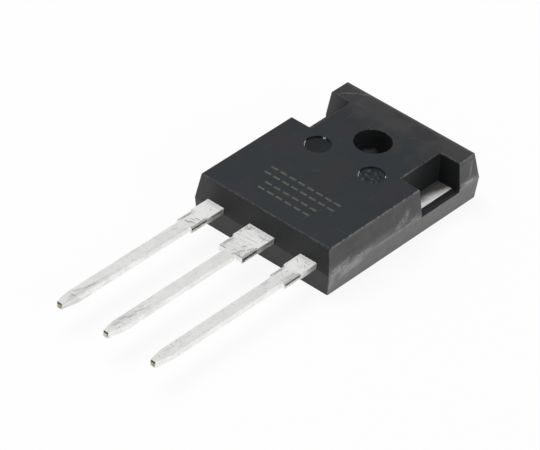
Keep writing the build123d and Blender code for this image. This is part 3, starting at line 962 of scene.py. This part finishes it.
# ---- Lumps in the right pin mark -----------------------------------------------------------------
# The pin on the right had a pitted face, so the compound stands up from that mark's floor in a
# cluster of soft lumps. They are part of the moulding, and their disc is sunk in its floor.

lump_disc_radius = 1.16
lump_disc_thickness = 0.2
lump_disc_sides = 80
lump_rings = 24
disc_above_floor = 0.012
pin_floor_z = front_z - pin_mark_depth

# Each lump or dip: place in the mark, height and reach
lumps_in_mark = (
    (-0.66, 0.54, 0.09, 0.44),
    (-0.52, -0.04, 0.07, 0.28),
    (0.00, 0.64, 0.11, 0.28),
    (-0.30, -0.72, 0.09, 0.40),
    (-0.06, -0.20, 0.11, 0.26),
    (0.34, -0.14, 0.06, 0.42),
    (0.34, 0.42, 0.08, 0.20),
    (0.50, 0.34, 0.09, 0.20),
    (0.64, 0.20, 0.07, 0.20),
    (0.60, -0.58, 0.10, 0.24),
    (0.84, -0.28, 0.06, 0.34),
    (-0.90, -0.36, 0.06, 0.22),
    (0.20, 0.98, 0.05, 0.20),
    (-0.20, 0.28, -0.08, 0.34),
    (0.18, -0.52, -0.07, 0.30),
    (-0.84, 0.12, -0.06, 0.22),
    (0.80, 0.56, -0.05, 0.26),
)

disc_middle_z = pin_floor_z - lump_disc_thickness / 2 + disc_above_floor
bpy.ops.object.select_all(action="DESELECT")
bpy.ops.mesh.primitive_cylinder_add(
    vertices=lump_disc_sides, radius=lump_disc_radius, depth=lump_disc_thickness,
    location=(pin_mark_x, pin_mark_y, disc_middle_z)
)
lumps = bpy.context.object
lumps.name = "pin_mark_lumps"
bpy.ops.object.transform_apply(location=True, rotation=True, scale=True)
bpy.ops.object.mode_set(mode="EDIT")
bpy.ops.mesh.select_mode(type="FACE")
bpy.ops.mesh.select_all(action="DESELECT")
bpy.ops.object.mode_set(mode="OBJECT")
for polygon in lumps.data.polygons:
    polygon.select = polygon.normal.z > 0.9
bpy.ops.object.mode_set(mode="EDIT")
for _ in range(lump_rings):
    bpy.ops.mesh.inset(thickness=lump_disc_radius / (lump_rings + 1), depth=0)
bpy.ops.mesh.merge(type="CENTER")
bpy.ops.mesh.select_mode(type="VERT")
for lump_x, lump_y, height, reach in lumps_in_mark:
    bpy.ops.mesh.select_all(action="DESELECT")
    bpy.ops.object.mode_set(mode="OBJECT")
    middle = Vector((pin_mark_x + lump_x, pin_mark_y + lump_y, pin_floor_z + 0.1))
    nearest = min(lumps.data.vertices, key=lambda vertex: (vertex.co - middle).length)
    nearest.select = True
    bpy.ops.object.mode_set(mode="EDIT")
    bpy.ops.transform.translate(
        value=(0, 0, height), use_proportional_edit=True, proportional_edit_falloff="SMOOTH",
        proportional_size=reach, use_proportional_connected=True
    )
bpy.ops.object.mode_set(mode="OBJECT")
lumps.scale = (MM, MM, MM)
bpy.ops.object.transform_apply(location=True, rotation=True, scale=True)
bpy.ops.object.shade_smooth_by_angle(angle=radians(60))
lumps.data.materials.append(mould_compound)
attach(lumps, "root")

# ---- Studio --------------------------------------------------------------------------------------
# A white table in a white room, a wide soft lamp up on the left and a dimmer one on the right. The
# camera looks down on the lead end from its right.

camera_azimuth = radians(39.218)
camera_elevation = radians(37.773)
camera_roll = radians(4.012)
camera_distance = 376.82 * MM
camera_aim = Vector((-2.421, -10.75, 0)) * MM
camera_lens = 282.6

white_in_table = 0.9
room_light = 0.36
room_horizon_light = 1.0
horizon_height = 0.4
table_size = 4

# Each lamp: place, width and power
lamps = {
    "left_lamp": ((-0.22, 0.0, 0.45), 0.4, 1.75),
    "right_lamp": ((0.5, -0.05, 0.30), 0.3, 0.8),
}

bpy.ops.object.select_all(action="DESELECT")
bpy.ops.mesh.primitive_plane_add(size=table_size, location=(0, 0, cad_low.z))
table = bpy.context.object
table.name = "table"
material, tree, shader, _ = start_material("white_table")
shader.inputs["Base Color"].default_value = (0.85, 0.85, 0.85, 1)
shader.inputs["Roughness"].default_value = 0.9
shader.inputs["Specular IOR Level"].default_value = 0.0
glow = add(tree, "ShaderNodeEmission", {"Color": (1, 1, 1, 1), "Strength": 1.0})
rays = add(tree, "ShaderNodeLightPath").outputs
seen = calc(tree, "MAXIMUM", rays["Is Glossy Ray"], rays["Is Transmission Ray"])
seen = calc(tree, "MAXIMUM", seen, calc(tree, "MULTIPLY", rays["Is Camera Ray"], white_in_table))
mix = add(tree, "ShaderNodeMixShader", {0: seen, 1: shader.outputs[0], 2: glow.outputs[0]})
tree.links.new(mix.outputs[0], tree.nodes["Material Output"].inputs[0])
table.data.materials.append(material)

world = bpy.data.worlds.new("white_room")
bpy.context.scene.world = world
world.use_nodes = True
tree = world.node_tree
rays = add(tree, "ShaderNodeLightPath").outputs
direction = add(tree, "ShaderNodeTexCoord").outputs["Generated"]
direction = add(tree, "ShaderNodeSeparateXYZ", {0: direction}).outputs
light = ramp(tree, direction[2], 0, horizon_height, room_horizon_light, room_light)
seen = calc(tree, "MAXIMUM", rays["Is Camera Ray"], rays["Is Transmission Ray"])
tree.links.new(calc(tree, "MAXIMUM", light, seen), tree.nodes["Background"].inputs["Strength"])
tree.nodes["Background"].inputs["Color"].default_value = (1, 1, 1, 1)


def hang_lamp(name, place, size, power):
    """A round soft lamp that points at the object."""
    lamp = bpy.data.lights.new(name, "AREA")
    lamp.shape = "DISK"
    lamp.size = size
    lamp.energy = power
    holder = bpy.data.objects.new(name, lamp)
    bpy.context.scene.collection.objects.link(holder)
    holder.location = place
    holder.rotation_euler = (-Vector(place)).to_track_quat("-Z", "Y").to_euler()


for lamp_name, (lamp_place, lamp_width, lamp_power) in lamps.items():
    hang_lamp(lamp_name, lamp_place, lamp_width, lamp_power)

camera_data = bpy.data.cameras.new("camera")
camera_data.lens = camera_lens
camera = bpy.data.objects.new("camera", camera_data)
bpy.context.scene.collection.objects.link(camera)
bpy.context.scene.camera = camera
back = Vector(
    (
        sin(camera_azimuth) * cos(camera_elevation),
        -cos(camera_azimuth) * cos(camera_elevation),
        sin(camera_elevation),
    )
)
right = Vector((cos(camera_azimuth), sin(camera_azimuth), 0))
facing = Matrix((right, back.cross(right), back)).transposed().to_4x4()
facing = facing @ Matrix.Rotation(camera_roll, 4, "Z")
camera.matrix_world = Matrix.Translation(camera_aim + back * camera_distance) @ facing

bpy.context.scene.view_settings.view_transform = "Standard"
